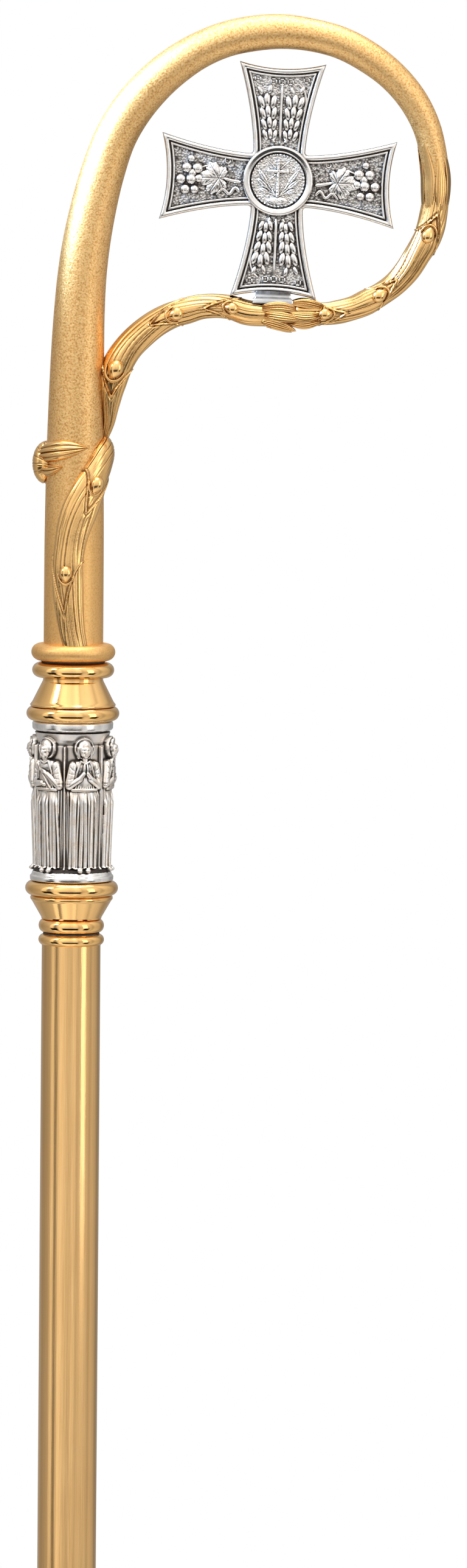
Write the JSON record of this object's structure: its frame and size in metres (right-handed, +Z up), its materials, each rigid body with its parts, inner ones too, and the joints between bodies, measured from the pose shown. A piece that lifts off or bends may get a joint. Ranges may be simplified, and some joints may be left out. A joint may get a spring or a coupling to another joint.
{
  "type": "crozier",
  "caption": "Tall pastoral staff with a hollow crook, vine ornament, a flared standing cross inside the loop and a turned knop with a silvered figure drum.",
  "frame": {"origin": "centre of the flat end of the foot tip, on the staff's axis", "axes": "+Z up along the staff, +X the way the crook opens, -Y the front of the cross"},
  "size_m": [0.1796, 0.0398, 1.8309],
  "materials": {
    "gold_satin": "fine sandblasted gilt, matt with a soft sheen",
    "gold_polished": "polished gilt with darker recesses",
    "gold_brushed": "satin gilt, brushed along the staff",
    "silver_oxidised": "silver plate, oxidised dark in the recesses",
    "steel": "plain machined steel",
    "fibre": "dull dark fibre"
  },
  "bodies": {
    "crook": {"crook_tube": "gold_satin", "crook_collar": "gold_satin", "crook_stud": "steel", "vine_front_stalk": "gold_polished", "vine_wrap": "gold_polished", "vine_arm": "gold_polished", "vine_end": "gold_polished", "cross_plate_front": "silver_oxidised", "cross_plate_back": "silver_oxidised", "medallion_ring_front": "silver_oxidised", "medallion_ring_back": "silver_oxidised", "medallion_front": "silver_oxidised", "medallion_back": "silver_oxidised", "cross_rivet": "silver_oxidised", "cross_foot_block": "silver_oxidised", "cross_fixing_screw": "steel"},
    "crook_washer": {"crook_washer": "fibre"},
    "knop": {"knop_top_ring": "gold_polished", "knop_upper_cone": "gold_polished", "knop_upper_ring": "gold_polished", "knop_bush": "steel", "silver_neck_ring": "silver_oxidised", "figure_drum": "silver_oxidised", "silver_plinth_ring": "silver_oxidised", "knop_lower_ring": "gold_polished", "knop_lower_cone": "gold_polished", "knop_bottom_ring": "gold_polished", "knop_tie_rod": "steel", "knop_rod_nut": "steel"},
    "knop_washer": {"knop_washer": "fibre"},
    "upper_staff": {"upper_staff_top_ring": "gold_polished", "upper_staff_bush": "steel", "upper_staff_tube": "gold_brushed", "upper_staff_end_ring": "gold_polished", "upper_staff_stud": "steel"},
    "upper_washer": {"upper_washer": "fibre"},
    "middle_staff": {"middle_staff_top_ring": "gold_polished", "middle_staff_bush": "steel", "middle_staff_tube": "gold_brushed", "middle_staff_end_ring": "gold_polished", "middle_staff_stud": "steel"},
    "lower_washer": {"lower_washer": "fibre"},
    "lower_staff": {"lower_staff_top_ring": "gold_polished", "lower_staff_bush": "steel", "lower_staff_tube": "gold_brushed", "foot_ferrule": "gold_polished", "foot_tip": "steel"}
  },
  "joints": [
    {"name": "crook_lift", "type": "slide", "parent": "knop", "child": "crook_washer", "axis": [0, 0, 1], "range_m": [0, 0.009]},
    {"name": "crook_turn", "type": "hinge", "parent": "crook_washer", "child": "crook", "pos_m": [0, 0, 1.5528], "axis": [0, 0, 1], "range_deg": [0, 2160]},
    {"name": "knop_lift", "type": "slide", "parent": "upper_staff", "child": "knop_washer", "axis": [0, 0, 1], "range_m": [0, 0.0105]},
    {"name": "knop_turn", "type": "hinge", "parent": "knop_washer", "child": "knop", "pos_m": [0, 0, 1.4355], "axis": [0, 0, 1], "range_deg": [0, 2160]},
    {"name": "middle_staff_lift", "type": "slide", "parent": "upper_staff", "child": "upper_washer", "axis": [0, 0, -1], "range_m": [0, 0.0105]},
    {"name": "middle_staff_turn", "type": "hinge", "parent": "upper_washer", "child": "middle_staff", "pos_m": [0, 0, 0.9571], "axis": [0, 0, -1], "range_deg": [0, 2160]},
    {"name": "lower_staff_lift", "type": "slide", "parent": "middle_staff", "child": "lower_washer", "axis": [0, 0, -1], "range_m": [0, 0.0105]},
    {"name": "lower_staff_turn", "type": "hinge", "parent": "lower_washer", "child": "lower_staff", "pos_m": [0, 0, 0.4786], "axis": [0, 0, -1], "range_deg": [0, 2160]}
  ],
  "couplings": [
    {"joint": "crook_lift", "follows": "crook_turn", "m_per_rad": 0.00023873},
    {"joint": "knop_lift", "follows": "knop_turn", "m_per_rad": 0.00027852},
    {"joint": "middle_staff_lift", "follows": "middle_staff_turn", "m_per_rad": 0.00027852},
    {"joint": "lower_staff_lift", "follows": "lower_staff_turn", "m_per_rad": 0.00027852}
  ]
}
